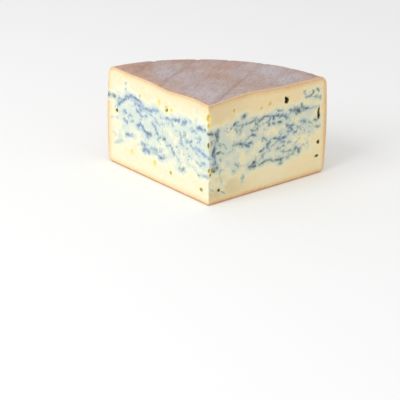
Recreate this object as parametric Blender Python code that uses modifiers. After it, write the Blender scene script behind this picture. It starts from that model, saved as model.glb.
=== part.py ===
"""Blue cheese wedge: a quarter cut from a low washed-rind wheel that was pierced with needles.

Metres, +Z up. The wedge stands on its flat underside. The sharp front edge, where the knife
went down through the middle of the wheel, points to -Y and the curved rind to +Y, with the
origin under the middle of the wedge's box.
"""

import math

import bmesh
import bpy
import numpy as np
from mathutils import Matrix, Vector

# Driving dimensions of the wheel and of the cut.
WHEEL_RADIUS = 0.140
WHEEL_HEIGHT = 0.091
OPENING = math.radians(91.0)
TOP_RIM_ROUND = 0.009
BOTTOM_RIM_ROUND = 0.007
RIM_BULGE = 0.0016

# How far the knife leaned: the foot of the front edge, and of the whole right cut, stands this
# much further right than the top does. At the rim the left cut is upright.
KNIFE_LEAN = 0.0026

# How finely the wheel is turned.
TURN_STEPS = 96
TOP_RINGS = 12
ROUND_STEPS = 6
SIDE_STEPS = 8

# Points nearer than this are one point: where the turned outline meets itself on the axis,
# and after a cut. An edge bent by more than the angle shows as sharp.
SEAM_WELD = 0.0001
WELD = 1e-6
SHARP_FROM = math.radians(35.0)

# How the soft paste has settled: a dip along the left cut, a swell along the right one and a
# sunk tip, with slow waves over the whole of the upper rind and round the rim.
LEFT_DIP = 0.0024
LEFT_DIP_AT = 0.38
RIGHT_SWELL = 0.0020
RIGHT_SWELL_AT = 0.33
SETTLE_WIDTH = 0.15
TIP_SINK = 0.0012
TIP_REACH = 0.09

# The slow waves: how high they are, how many radians they run through from the axis to the
# rim or for each radian round it, and the phase they start at.
TOP_WAVE = 0.0007
TOP_WAVE_OUT = 9.0
TOP_WAVE_OUT_START = 1.3
TOP_WAVE_ROUND = 5.0
TOP_WAVE_ROUND_START = 0.6
RIM_WAVE = 0.0008
RIM_WAVE_ROUND = 4.0

# Eyes in the two cut faces: how far out from the front edge and how far up, as shares of the
# radius and the height, then width, height and depth in millimetres.
LEFT_EYES = [
    (0.895, 0.566, 3.6, 3.2, 2.2),
    (0.658, 0.812, 3.0, 3.4, 2.0),
    (0.470, 0.828, 3.0, 6.0, 2.0),
    (0.396, 0.796, 4.2, 6.2, 2.4),
    (0.345, 0.806, 3.6, 3.0, 1.8),
    (0.736, 0.200, 4.2, 4.0, 1.8),
    (0.512, 0.187, 4.0, 5.4, 2.2),
    (0.354, 0.162, 3.0, 3.4, 2.0),
    (0.070, 0.133, 5.0, 3.2, 2.4),
]
RIGHT_EYES = [
    (0.637, 0.850, 5.4, 6.8, 2.4),
    (0.205, 0.868, 2.8, 3.6, 2.0),
    (0.430, 0.824, 3.2, 2.6, 1.8),
    (0.500, 0.852, 3.6, 4.2, 2.0),
    (0.922, 0.632, 3.0, 9.4, 2.4),
    (0.925, 0.333, 3.4, 3.6, 2.4),
    (0.915, 0.188, 4.2, 2.4, 2.2),
    (0.082, 0.130, 3.2, 3.2, 2.4),
]
EYE_SEGMENTS = 12
EYE_RINGS = 8

# Pits that open on the front edge itself: height as a share, then width, height and depth.
EDGE_PITS = [
    (0.870, 3.0, 7.0, 2.2),
    (0.795, 2.4, 3.6, 1.8),
    (0.600, 2.4, 4.6, 2.0),
    (0.350, 2.6, 4.0, 1.8),
]

# Needle holes round the rind: the height of each level row as a share, and the angle between
# one hole and the next in a row. A hole drifts by a share of that angle, and up or down.
NEEDLE_ROWS = (0.15, 0.33, 0.54, 0.75)
NEEDLE_SPACING = math.radians(14.0)
NEEDLE_COLUMNS = 6
NEEDLE_RADIUS = 0.0013
NEEDLE_DEPTH = 0.0024
NEEDLE_SIDES = 8
NEEDLE_DRIFT = 0.12
NEEDLE_LIFT = 0.0016
NEEDLE_SEED = 7

CENTRE_Y = WHEEL_RADIUS / 2.0
MILLIMETRE = 0.001


def clear_scene():
    """Start from a file with no objects in it."""
    for thing in list(bpy.data.objects):
        bpy.data.objects.remove(thing, do_unlink=True)


def new_collection(name):
    """A collection of that name, linked to the scene."""
    group = bpy.data.collections.new(name)
    bpy.context.scene.collection.children.link(group)
    return group


def add_object(name, mesh, group):
    """An object that holds the mesh, in the given collection."""
    thing = bpy.data.objects.new(name, mesh)
    group.objects.link(thing)
    return thing


def add_cutter(name, mesh, group):
    """A cutter: shown as wire and left out of renders."""
    thing = add_object(name, mesh, group)
    thing.hide_render = True
    thing.display_type = "WIRE"
    return thing


def rind_material():
    """Pale buttery paste under a pinkish grey washed rind, dull and slightly waxy."""
    finish = bpy.data.materials.new("blue_cheese")
    finish.use_nodes = True
    shader = finish.node_tree.nodes["Principled BSDF"]
    shader.inputs["Base Color"].default_value = (0.80, 0.70, 0.46, 1.0)
    shader.inputs["Roughness"].default_value = 0.55
    shader.inputs["Metallic"].default_value = 0.0
    return finish


def wheel_outline():
    """Radius and height down the wheel's outer side, from the middle of the top to the
    middle of the underside: level top, rounded rim, barrel side, rounded rim, level base."""
    flat_reach = WHEEL_RADIUS - RIM_BULGE - TOP_RIM_ROUND
    base_reach = WHEEL_RADIUS - RIM_BULGE - BOTTOM_RIM_ROUND
    points = [(flat_reach * ring / TOP_RINGS, WHEEL_HEIGHT) for ring in range(TOP_RINGS + 1)]
    for step in range(1, ROUND_STEPS + 1):
        turn = math.radians(90.0) * step / ROUND_STEPS
        points.append((
            flat_reach + TOP_RIM_ROUND * math.sin(turn),
            WHEEL_HEIGHT - TOP_RIM_ROUND * (1.0 - math.cos(turn)),
        ))
    side_height = WHEEL_HEIGHT - TOP_RIM_ROUND - BOTTOM_RIM_ROUND
    for step in range(1, SIDE_STEPS):
        share = step / SIDE_STEPS
        points.append((
            WHEEL_RADIUS - RIM_BULGE + RIM_BULGE * math.sin(math.pi * share),
            WHEEL_HEIGHT - TOP_RIM_ROUND - side_height * share,
        ))
    for step in range(ROUND_STEPS + 1):
        turn = math.radians(90.0) * step / ROUND_STEPS
        points.append((
            base_reach + BOTTOM_RIM_ROUND * math.cos(turn),
            BOTTOM_RIM_ROUND * (1.0 - math.sin(turn)),
        ))
    points.append((0.0, 0.0))
    return points


def turned_wheel(group):
    """The whole wheel, its outline turned about the upright axis with Screw."""
    outline = wheel_outline()
    mesh = bpy.data.meshes.new("wheel")
    links = [(index, index + 1) for index in range(len(outline) - 1)]
    mesh.from_pydata([(radius, 0.0, height) for radius, height in outline], links, [])
    wheel = add_cutter("wheel_blank", mesh, group)
    screw = wheel.modifiers.new("turn", "SCREW")
    screw.axis = "Z"
    screw.angle = math.radians(360.0)
    screw.steps = TURN_STEPS
    screw.render_steps = TURN_STEPS
    screw.use_merge_vertices = True
    screw.merge_threshold = SEAM_WELD
    return wheel


def knife_block(group):
    """The space between the two knife cuts: an upright three-sided prism with one edge on the
    axis. Its cuts run out to twice the wheel's radius, and it passes the wheel by the wheel's
    own height below and above."""
    reach = 2.0 * WHEEL_RADIUS
    half = OPENING / 2.0
    builder = bmesh.new()
    corners = [
        (0.0, 0.0),
        (reach * math.sin(half), reach * math.cos(half)),
        (-reach * math.sin(half), reach * math.cos(half)),
    ]
    foot = [builder.verts.new((x, y, -WHEEL_HEIGHT)) for x, y in corners]
    base = builder.faces.new(foot)
    raised = bmesh.ops.extrude_face_region(builder, geom=[base])
    lifted = [item for item in raised["geom"] if isinstance(item, bmesh.types.BMVert)]
    bmesh.ops.translate(builder, verts=lifted, vec=(0.0, 0.0, 3.0 * WHEEL_HEIGHT))
    bmesh.ops.recalc_face_normals(builder, faces=builder.faces)
    mesh = bpy.data.meshes.new("knife_block")
    builder.to_mesh(mesh)
    builder.free()
    return add_cutter("knife_block", mesh, group)


def boolean(target, cutter, operation):
    """An exact Boolean on the target, left on it as a modifier."""
    cut = target.modifiers.new(cutter.name, "BOOLEAN")
    cut.operation = operation
    cut.solver = "EXACT"
    cut.object = cutter


def evaluated_mesh(thing, name):
    """The object's mesh with its modifiers worked out."""
    bpy.context.view_layer.update()
    graph = bpy.context.evaluated_depsgraph_get()
    mesh = bpy.data.meshes.new_from_object(thing.evaluated_get(graph))
    mesh.name = name
    return mesh


def hump(share, middle):
    """A smooth bump of height one round a place on the way out from the front edge."""
    return np.exp(-((share - middle) / SETTLE_WIDTH) ** 2)


def settled(points):
    """Points of an upright cut moved to where the knife's lean and the sunk paste put them.

    The height changes with the square of how high a point is, so the underside stays level,
    and the radius changes by slow waves round the rim, most at mid height and far out.
    The lean slides points to the right in step with how low they are, less and less towards
    the left cut's far end, so the left cut is slightly twisted and the right one stays flat.
    """
    radius = np.hypot(points[:, 0], points[:, 1])
    angle = np.arctan2(points[:, 0], points[:, 1])
    out = radius / WHEEL_RADIUS
    up = points[:, 2] / WHEEL_HEIGHT
    rightness = np.where(radius > WELD, 0.5 + angle / OPENING, 0.5)
    lift = RIGHT_SWELL * rightness * hump(out, RIGHT_SWELL_AT)
    lift -= LEFT_DIP * (1.0 - rightness) * hump(out, LEFT_DIP_AT)
    lift -= TIP_SINK * np.exp(-(out / TIP_REACH) ** 2)
    wave_out = np.sin(TOP_WAVE_OUT * out + TOP_WAVE_OUT_START)
    wave_round = np.cos(TOP_WAVE_ROUND * angle + TOP_WAVE_ROUND_START)
    lift += TOP_WAVE * out * wave_out * wave_round
    push = RIM_WAVE * out ** 2 * np.sin(RIM_WAVE_ROUND * angle) * np.sin(math.pi * up)
    lean = KNIFE_LEAN * (0.5 - up) * (1.0 - out * (1.0 - rightness))
    moved = points.copy()
    moved[:, 0] += push * np.sin(angle) + lean
    moved[:, 1] += push * np.cos(angle) - CENTRE_Y
    moved[:, 2] += lift * up ** 2
    return moved


def place_on(radius, angle, height):
    """Where a point of the upright cut ends up: radius and angle about the axis, and height."""
    upright = np.array([[radius * math.sin(angle), radius * math.cos(angle), height]])
    return Vector(settled(upright)[0])


def cut_wedge(scrap):
    """The quarter: the wheel's part between the cuts, settled, with no loose points."""
    wheel = turned_wheel(scrap)
    boolean(wheel, knife_block(scrap), "INTERSECT")
    mesh = evaluated_mesh(wheel, "cheese_wedge")
    builder = bmesh.new()
    builder.from_mesh(mesh)
    bmesh.ops.remove_doubles(builder, verts=builder.verts, dist=WELD)
    builder.to_mesh(mesh)
    builder.free()
    points = np.empty(3 * len(mesh.vertices))
    mesh.vertices.foreach_get("co", points)
    mesh.vertices.foreach_set("co", settled(points.reshape(-1, 3)).ravel())
    mesh.update()
    return mesh


def face_frame(side):
    """Directions of a cut face, -1 for the left one and 1 for the right one: out from the
    front edge along the face, and straight out of the cheese."""
    half = OPENING / 2.0
    along = Vector((side * math.sin(half), math.cos(half), 0.0))
    outward = Vector((side * math.cos(half), -math.sin(half), 0.0))
    return along, outward


def add_pit(builder, centre, along, outward, width, height, depth):
    """An egg-shaped pit whose three half axes lie along the face, upright and inwards."""
    turn = Matrix((along, Vector((0.0, 0.0, 1.0)), outward)).transposed().to_4x4()
    size = Matrix.Diagonal((width / 2.0, height / 2.0, depth, 1.0))
    if turn.determinant() < 0.0:
        size = size @ Matrix.Diagonal((-1.0, 1.0, 1.0, 1.0))
    bmesh.ops.create_uvsphere(
        builder,
        u_segments=EYE_SEGMENTS,
        v_segments=EYE_RINGS,
        radius=1.0,
        matrix=Matrix.Translation(centre) @ turn @ size,
    )


def add_eyes(builder):
    """Every eye that the knife opened in the two cut faces and on the edge between them."""
    for side, eyes in ((-1.0, LEFT_EYES), (1.0, RIGHT_EYES)):
        along, outward = face_frame(side)
        for out, up, width, height, depth in eyes:
            centre = place_on(out * WHEEL_RADIUS, side * OPENING / 2.0, up * WHEEL_HEIGHT)
            sizes = [value * MILLIMETRE for value in (width, height, depth)]
            add_pit(builder, centre, along, outward, *sizes)
    for up, width, height, depth in EDGE_PITS:
        centre = place_on(0.0, 0.0, up * WHEEL_HEIGHT)
        sizes = [value * MILLIMETRE for value in (width, height, depth)]
        add_pit(builder, centre, Vector((1.0, 0.0, 0.0)), Vector((0.0, -1.0, 0.0)), *sizes)


def add_needles(builder):
    """The needles that pierced the rind level, row above row, each a little off its place."""
    wander = np.random.default_rng(NEEDLE_SEED)
    for row in NEEDLE_ROWS:
        for column in range(NEEDLE_COLUMNS):
            off = wander.uniform(-1.0, 1.0, 2)
            angle = (column - (NEEDLE_COLUMNS - 1) / 2.0 + NEEDLE_DRIFT * off[0]) * NEEDLE_SPACING
            place = place_on(WHEEL_RADIUS, angle, row * WHEEL_HEIGHT + NEEDLE_LIFT * off[1])
            turn = Matrix.Rotation(-angle, 4, "Z") @ Matrix.Rotation(math.radians(90.0), 4, "X")
            bmesh.ops.create_cone(
                builder,
                cap_ends=True,
                segments=NEEDLE_SIDES,
                radius1=NEEDLE_RADIUS,
                radius2=NEEDLE_RADIUS,
                depth=2.0 * NEEDLE_DEPTH,
                matrix=Matrix.Translation(place) @ turn,
            )


def hole_cutter(scrap):
    """The eyes and the needles as one cutter, since none of them touches another."""
    builder = bmesh.new()
    add_eyes(builder)
    add_needles(builder)
    mesh = bpy.data.meshes.new("holes")
    builder.to_mesh(mesh)
    builder.free()
    return add_cutter("hole_cutter", mesh, scrap)


clear_scene()
blue_cheese = new_collection("blue_cheese_wedge")
cutters = new_collection("cutters")

wedge_mesh = cut_wedge(cutters)
wedge_mesh.materials.clear()
wedge_mesh.materials.append(rind_material())
wedge = add_object("cheese_wedge", wedge_mesh, blue_cheese)
boolean(wedge, hole_cutter(cutters), "DIFFERENCE")
wedge_mesh.shade_smooth()
wedge_mesh.set_sharp_from_angle(angle=SHARP_FROM)
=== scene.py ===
import math

import bpy
import numpy as np
from mathutils import Matrix, Vector


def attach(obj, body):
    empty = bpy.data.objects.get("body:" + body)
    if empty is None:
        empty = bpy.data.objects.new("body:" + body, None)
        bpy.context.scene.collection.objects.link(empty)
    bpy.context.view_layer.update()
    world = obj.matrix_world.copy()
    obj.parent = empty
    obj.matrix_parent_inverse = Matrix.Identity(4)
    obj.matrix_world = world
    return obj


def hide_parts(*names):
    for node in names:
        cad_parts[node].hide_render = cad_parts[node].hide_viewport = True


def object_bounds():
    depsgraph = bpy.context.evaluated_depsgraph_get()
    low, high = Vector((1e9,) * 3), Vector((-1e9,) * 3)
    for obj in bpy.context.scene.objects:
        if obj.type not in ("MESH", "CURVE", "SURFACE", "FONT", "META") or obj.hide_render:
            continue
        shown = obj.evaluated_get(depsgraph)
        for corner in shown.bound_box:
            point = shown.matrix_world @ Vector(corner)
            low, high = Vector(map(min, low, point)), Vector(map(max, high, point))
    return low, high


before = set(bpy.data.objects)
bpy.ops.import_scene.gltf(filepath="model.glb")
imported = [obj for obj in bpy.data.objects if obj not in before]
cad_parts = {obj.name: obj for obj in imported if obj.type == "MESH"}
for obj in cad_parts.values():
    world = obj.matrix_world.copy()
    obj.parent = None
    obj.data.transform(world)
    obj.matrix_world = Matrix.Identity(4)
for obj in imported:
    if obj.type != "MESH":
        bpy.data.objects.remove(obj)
cad_low, cad_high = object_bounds()

# ------------------------------------------------------------
# The paste: the ivory inside of the wedge, laid bare by two strokes of the knife that meet in
# the sharp front edge. Milk curd that was spiked with needles, so that blue mould grew along
# level bands, with small shiny eyes where gas gathered. It is soft and has sunk a little.
# ------------------------------------------------------------
FRONT_Y = cad_low.y
RADIUS = cad_high.y - cad_low.y
HEIGHT = 0.091
OPENING = math.radians(91.0)
TOP_ROUND = 0.009
BASE_ROUND = 0.007
BULGE = 0.0016
BLUNT = 0.00035
# The paste starts this far under the rind's surface, and its hidden back lies this deep.
SKIN = 0.0013
BURIED = 0.00485

LEFT_DIP, LEFT_DIP_AT = 0.0024, 0.38
RIGHT_SWELL, RIGHT_SWELL_AT = 0.0020, 0.33
SETTLE_WIDTH = 0.15
TIP_SINK, TIP_REACH = 0.0012, 0.09
TOP_WAVE, TOP_WAVE_OUT, TOP_WAVE_OUT_START = 0.0007, 9.0, 1.3
TOP_WAVE_ROUND, TOP_WAVE_ROUND_START = 5.0, 0.6
RIM_WAVE, RIM_WAVE_ROUND = 0.0008, 4.0
KNIFE_LEAN = 0.0026

# Shares of the way out and up at which the cut faces have points.
OUT_STEPS = np.linspace(0.0, 1.0, 251)
UP_STEPS = np.linspace(0.0, 1.0, 161)
BACK_STEPS = 10
MM = 0.001


def smooth(value, low, high):
    """0 below low, 1 above high, and 3t^2 - 2t^3 between them."""
    share = np.clip((value - low) / (high - low), 0.0, 1.0)
    return share * share * (3.0 - 2.0 * share)


def fade(value, low, high):
    """1 below low, 0 above high, and smooth between them."""
    return 1.0 - smooth(value, low, high)


def grain(points, cell, seed):
    """Lumps between -1 and 1, about a cell across: random numbers at the corners of a cubic
    lattice, blended along each direction by 6t^5 - 15t^4 + 10t^3."""
    size = 96
    table = np.random.default_rng(seed).uniform(-1.0, 1.0, (size, size, size))
    place = points / cell + 1000.0
    corner = np.floor(place).astype(int)
    part = place - corner
    part = part ** 3 * (part * (6.0 * part - 15.0) + 10.0)
    total = np.zeros(points.shape[:-1])
    for step in np.ndindex(2, 2, 2):
        weight = np.prod(np.where(step, part, 1.0 - part), axis=-1)
        at = (corner + step) % size
        total += weight * table[at[..., 0], at[..., 1], at[..., 2]]
    return total


def rough(points, cell, seed, layers=3):
    """Grain on grain: each layer has half the cell and half the height of the one before."""
    weights = 0.5 ** np.arange(layers)
    found = [w * grain(points, cell * w, seed + k) for k, w in enumerate(weights)]
    return sum(found) / weights.sum()


def settled(radius, angle, height):
    """Where a point of an upright quarter lies once the paste has sunk. A Gaussian dip runs
    along the left cut and a swell along the right one, the tip sinks, slow waves cross the
    rest, and all of it grows with the square of the height, so the underside stays level.
    The knife's lean slides the foot of the front edge and of the right cut to the right. The
    front edge is blunted by turning y into the root of y squared plus a little."""
    out = radius / RADIUS
    up = height / HEIGHT
    rightness = 0.5 + angle / OPENING
    lift = RIGHT_SWELL * rightness * np.exp(-((out - RIGHT_SWELL_AT) / SETTLE_WIDTH) ** 2)
    lift -= LEFT_DIP * (1.0 - rightness) * np.exp(-((out - LEFT_DIP_AT) / SETTLE_WIDTH) ** 2)
    lift -= TIP_SINK * np.exp(-(out / TIP_REACH) ** 2)
    wave = np.sin(TOP_WAVE_OUT * out + TOP_WAVE_OUT_START)
    lift += TOP_WAVE * out * wave * np.cos(TOP_WAVE_ROUND * angle + TOP_WAVE_ROUND_START)
    reach = radius + RIM_WAVE * out ** 2 * np.sin(RIM_WAVE_ROUND * angle) * np.sin(math.pi * up)
    across = reach * np.sin(angle) + KNIFE_LEAN * (0.5 - up) * (1.0 - out * (1.0 - rightness))
    back = np.hypot(reach * np.cos(angle), BLUNT)
    return np.stack([across, back + FRONT_Y, height + lift * up ** 2], -1)


def walked(radius, height):
    """Length along a run of points from its first one to each."""
    return np.concatenate([[0.0], np.cumsum(np.hypot(np.diff(radius), np.diff(height)))])


def outline(inset, edge, share):
    """Radius and height on the outline of a section, so far inside the rind. Edge 0 is the
    top from the axis to halfway round the upper rim, edge 1 the side down to halfway round
    the lower rim, and edge 2 the base back to the axis. Rims are arcs, the side is half a
    sine wave, and share runs evenly along each edge from 0 to 1."""
    turn = np.linspace(0.0, math.pi / 2.0, 60)
    fall = np.linspace(0.0, 1.0, 200)
    flat = RADIUS - BULGE - TOP_ROUND
    base = RADIUS - BULGE - BASE_ROUND
    radius = np.concatenate([
        [0.0],
        flat + (TOP_ROUND - inset) * np.sin(turn),
        RADIUS - BULGE - inset + BULGE * np.sin(math.pi * fall),
        base + (BASE_ROUND - inset) * np.cos(turn),
        [0.0],
    ])
    height = np.concatenate([
        [HEIGHT - inset],
        HEIGHT - TOP_ROUND + (TOP_ROUND - inset) * np.cos(turn),
        HEIGHT - TOP_ROUND + (BASE_ROUND + TOP_ROUND - HEIGHT) * fall,
        BASE_ROUND - (BASE_ROUND - inset) * np.sin(turn),
        [inset],
    ])
    length = walked(radius, height)
    first = flat + (TOP_ROUND - inset) * math.pi / 4.0
    last = length[-1] - base - (BASE_ROUND - inset) * math.pi / 4.0
    starts = np.array([0.0, first, last, length[-1]])
    where = starts[edge] + (starts[edge + 1] - starts[edge]) * share
    return np.interp(where, length, radius), np.interp(where, length, height)


def whole_outline(inset, shares):
    """Radius and height along top, side and base in one run, from the shares of each edge."""
    top, side, base = [np.stack(outline(inset, edge, share)) for edge, share in enumerate(shares)]
    return np.concatenate([top, side[:, 1:], base[:, 1:]], axis=1)


def buried_outline(inset, shares):
    """The whole outline so far inside the rind, but no deeper than the skin near the axis,
    where the two cuts leave no room: a smooth blend of the two with the radius."""
    skin = whole_outline(SKIN, shares)
    deep = whole_outline(inset, shares)
    return skin + (deep - skin) * smooth(skin[0], 4.0 * MM, 12.0 * MM)


def cut_face_grid():
    """Radius and height over one cut face by a Coons patch: the two blends between opposite
    edges, less the blend between the four corners. Axis to rim first, then base to top."""
    top = np.stack(outline(SKIN, 0, OUT_STEPS), -1)[:, None]
    base = np.stack(outline(SKIN, 2, 1.0 - OUT_STEPS), -1)[:, None]
    rim = np.stack(outline(SKIN, 1, 1.0 - UP_STEPS), -1)[None]
    axis = np.stack([0.0 * UP_STEPS, SKIN + (HEIGHT - 2.0 * SKIN) * UP_STEPS], -1)[None]
    u = OUT_STEPS[:, None, None]
    v = UP_STEPS[None, :, None]
    blend = (1.0 - v) * base + v * top + (1.0 - u) * axis + u * rim
    blend -= (1.0 - u) * ((1.0 - v) * axis[:, :1] + v * axis[:, -1:])
    blend -= u * ((1.0 - v) * rim[:, :1] + v * rim[:, -1:])
    return blend[..., 0], blend[..., 1]


# Eyes in the cut: side (-1 left, 1 right, 0 on the front edge), places out and up in percent,
# width, height and depth in millimetres, and darkness in percent, which paints the deep eyes
# dark: partly mould, partly painted shade.
EYES = [
    (-1, 89.5, 56.6, 3.2, 3, 3, 60),
    (-1, 65.8, 81.2, 2.4, 3, 2, 12),
    (-1, 47, 82.8, 3, 6, 2, 0),
    (-1, 39.6, 80, 4.2, 6.2, 2.4, 0),
    (-1, 39.7, 78.4, 2.6, 2.8, 3.2, 38),
    (-1, 34.5, 80.6, 3.6, 3, 1.8, 0),
    (-1, 73.6, 20, 4.2, 4, 1.8, 0),
    (-1, 51.2, 18.7, 4, 5.4, 2.2, 0),
    (-1, 35.4, 16.2, 3, 3.4, 1.6, 20),
    (-1, 7, 13.3, 3.8, 3.2, 1.5, 26),
    (1, 63.8, 84.6, 4.4, 5.4, 7, 100),
    (1, 63, 87.2, 2.4, 3.2, 3, 40),
    (1, 65.2, 86.8, 3.4, 3.4, 1.6, 0),
    (1, 20.5, 86.8, 2.8, 3.6, 2, 0),
    (1, 43, 82.4, 3, 2.4, 1.6, 0),
    (1, 50, 85.2, 3.6, 4.2, 2, 0),
    (1, 92.2, 63.2, 3, 9.4, 5, 100),
    (1, 92.5, 33.3, 3.2, 3.4, 3, 75),
    (1, 91.5, 18.8, 4.2, 2.2, 2, 50),
    (1, 8.2, 13, 2.4, 2.6, 3, 70),
    (1, 4.5, 33, 3.6, 2.6, 1, 30),
    (1, 1.2, 30.5, 2.4, 2.4, 1, 30),
    (0, 0, 87, 3.8, 7, 2.2, 0),
    (0, 0, 79.5, 3.2, 4.2, 1.8, 10),
    (0, 0, 60, 2.6, 4.6, 2, 30),
    (0, 0, 35, 2.8, 4, 1.8, 20),
]

# Whey dried in the eyes of each side: how much shows and how golden it is.
WHEY = {-1: (1.0, 0.30), 0: (1.0, 1.0), 1: (0.52, 0.60)}

# Mould along the needle tracks and in the cracks of the curd, drawn as strokes on each cut
# face: width in millimetres, then strength, greenness and places out and up, all in percent.
LEFT_MOULD = [
    (3.2, 95, 0, (88.5, 62), (86.5, 66), (82, 70.5), (79, 74.5), (74.5, 76.8), (70, 76.5), (65, 74.8)),
    (4.4, 80, 0, (70, 71.2), (65, 70.5), (60, 70), (55.5, 70.8)),
    (3, 100, 0, (55.5, 70.8), (52, 73.2), (48.5, 73.5)),
    (2.6, 85, 0, (69.5, 65), (66, 63.5), (63, 61.8)), (2.2, 80, 0, (66.5, 68.5), (64.5, 67.5)),
    (2.2, 70, 10, (60.5, 62.8), (59, 63)), (2.2, 60, 10, (55, 67), (53, 66.5)),
    (3, 100, 90, (100, 69), (96, 70.5), (92.5, 70)), (2, 70, 60, (87, 71.2), (84.5, 71)),
    (2, 45, 80, (80, 87.5), (78.5, 88.5)), (2, 40, 40, (80, 82), (80, 80)),
    (2, 22, 70, (74.5, 86.5), (73, 86)), (3.6, 100, 0, (82.5, 58), (81.5, 59)),
    (3.6, 80, 10, (77.5, 56), (76.5, 58), (74.5, 57.5)), (3.4, 85, 0, (82, 49.5), (78.5, 49)),
    (2.6, 60, 20, (75, 51), (73, 52)), (4.2, 100, 0, (67.5, 50), (65.5, 52.5), (63, 50.5)),
    (4.4, 95, 0, (63, 50.5), (60, 46.5), (57.5, 45.5), (55, 46.2)),
    (2.4, 70, 0, (58.5, 43.5), (57.5, 42)),
    (3.2, 90, 10, (53, 58.5), (51, 56.5), (49.5, 54), (48.5, 50)),
    (3, 60, 0, (51, 64.5), (49, 61.5), (46, 61), (44, 63)), (2.4, 75, 10, (45.5, 49), (47.5, 44.5)),
    (2.4, 95, 50, (42, 47.8), (41, 48.5)), (2.4, 40, 10, (46, 70), (42, 68.5)),
    (2.8, 85, 10, (40, 70), (36, 71.3), (33, 71.5), (30, 73), (27.5, 73.5)),
    (2.2, 60, 20, (34, 67.5), (32.5, 65.5)), (2, 55, 40, (30.5, 61), (29, 62)),
    (3.6, 100, 10, (24, 71.5), (21.5, 73.8)), (4, 35, 0, (21, 75.5), (17, 76)),
    (3.4, 75, 20, (15.5, 69), (12, 69)), (3.2, 95, 10, (10, 72.5), (7, 73.5), (3.5, 73.5)),
    (2.6, 75, 10, (11.5, 61.2), (9, 62), (7.5, 63)), (2.4, 65, 10, (26.5, 60), (25.5, 57.5)),
    (2.4, 75, 20, (26.5, 53), (24.5, 51), (23, 50)), (2.4, 95, 40, (20, 55.5), (15.5, 56.7)),
    (3, 80, 0, (16, 53), (13, 52), (9.5, 52), (6.5, 51.5)),
    (3, 95, 0, (6.5, 51.5), (4, 49), (0, 46.5)), (3.6, 45, 0, (12, 50), (9, 46.5)),
    (2, 60, 30, (20, 48.3), (19, 48.3)), (2.6, 85, 0, (6.5, 40), (4.5, 40.2)),
    (2.2, 55, 80, (11.5, 40.5), (9.5, 37.8), (7.5, 37)),
    (3, 85, 0, (80, 35.5), (77, 36.5), (73.5, 37.2)), (3.2, 80, 30, (63.5, 33.5), (61, 33)),
    (3.8, 100, 0, (61.5, 27.5), (59.5, 28.5), (56.5, 29)), (3, 45, 0, (60, 34), (57, 35)),
    (3, 75, 20, (54, 32.5), (51, 33.7), (48.5, 33)), (4.6, 42, 0, (53, 30), (49, 30.5)),
    (3.2, 90, 30, (46.5, 28.5), (44.5, 27.2), (42.5, 29)),
    (2.6, 75, 20, (38.5, 43), (35, 44.2), (33.5, 43.5), (33.5, 40), (32, 35.5)),
    (3.2, 40, 0, (30, 35.5), (28.5, 33)), (3.4, 80, 60, (27, 23.8), (24.5, 24.5), (22.5, 26)),
    (2.4, 55, 50, (9.5, 26.8), (7, 27.7), (0, 28)), (1.8, 30, 80, (18.5, 31.5), (17, 32)),
    (2.2, 40, 100, (91, 22), (88, 25), (86, 27), (84, 27.5)),
    (2.4, 28, 70, (97, 46.5), (93, 49), (88.5, 50)), (2.6, 22, 60, (41, 14.5), (40.5, 12.5)),
    (4.4, 20, 100, (11, 89), (11.5, 84), (12, 79)),
]
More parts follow.
